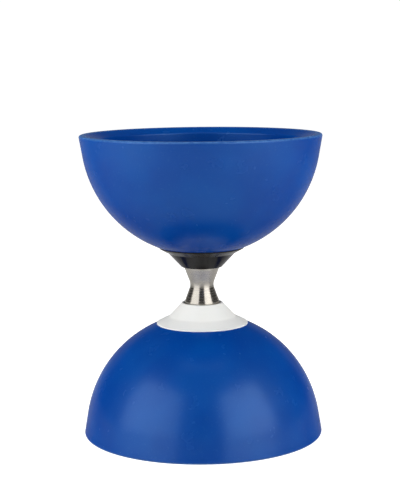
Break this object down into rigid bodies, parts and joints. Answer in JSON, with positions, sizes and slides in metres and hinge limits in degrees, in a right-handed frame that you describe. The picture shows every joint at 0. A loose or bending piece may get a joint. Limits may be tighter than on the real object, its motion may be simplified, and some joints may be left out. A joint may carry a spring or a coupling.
{
  "type": "diabolo",
  "caption": "Diabolo (Chinese yo-yo): blue rubber hemispherical cups back to back on a one-way bearing axle with a waisted steel string sleeve between conical hubs.",
  "frame": {"origin": "centre of the axle's waist, midway between the cups", "axes": "+Z along the axle towards the cup on the black hub; +X and +Y are across the axle and equivalent"},
  "size_m": [0.115, 0.115, 0.1442],
  "materials": {
    "cup_rubber": "satin moulded rubber, blue",
    "black_plastic": "glossy moulded plastic, black",
    "white_plastic": "semi-gloss moulded plastic, white",
    "sleeve_steel": "turned and polished",
    "shaft_steel": "turned",
    "bearing_steel": "ground",
    "cage_polymer": "moulded",
    "zinc_steel": "bright zinc plated",
    "nylon": "moulded nylon"
  },
  "bodies": {
    "cups": {"upper_cup": "cup_rubber", "upper_hub": "black_plastic", "upper_bearing_inner_ring": "bearing_steel", "upper_spacer": "shaft_steel", "upper_clamp_plate": "zinc_steel", "upper_washer": "zinc_steel", "upper_lock_nut": "zinc_steel", "upper_nut_insert": "nylon", "lower_cup": "cup_rubber", "lower_hub": "white_plastic", "lower_bearing_inner_ring": "bearing_steel", "lower_spacer": "shaft_steel", "lower_clamp_plate": "zinc_steel", "lower_washer": "zinc_steel", "lower_lock_nut": "zinc_steel", "lower_nut_insert": "nylon", "axle_shaft": "shaft_steel"},
    "sleeve": {"axle_sleeve": "sleeve_steel", "clutch_shell": "bearing_steel", "clutch_cage": "cage_polymer", "clutch_rollers": "bearing_steel", "clutch_springs": "bearing_steel", "upper_bearing_outer_ring": "bearing_steel", "upper_bearing_shields": "bearing_steel", "lower_bearing_outer_ring": "bearing_steel", "lower_bearing_shields": "bearing_steel"},
    "upper_ball_set": {"upper_bearing_balls": "bearing_steel", "upper_bearing_cage": "cage_polymer"},
    "lower_ball_set": {"lower_bearing_balls": "bearing_steel", "lower_bearing_cage": "cage_polymer"}
  },
  "joints": [
    {"name": "sleeve_spin", "type": "hinge", "parent": "cups", "child": "sleeve", "pos_m": [0, 0, 0], "axis": [0, 0, 1], "continuous": true},
    {"name": "upper_ball_spin", "type": "hinge", "parent": "cups", "child": "upper_ball_set", "pos_m": [0, 0, 0.01252], "axis": [0, 0, 1], "continuous": true},
    {"name": "lower_ball_spin", "type": "hinge", "parent": "cups", "child": "lower_ball_set", "pos_m": [0, 0, -0.01252], "axis": [0, 0, 1], "continuous": true}
  ],
  "couplings": [
    {"joint": "upper_ball_spin", "follows": "sleeve_spin", "ratio": 0.625},
    {"joint": "lower_ball_spin", "follows": "sleeve_spin", "ratio": 0.625}
  ]
}
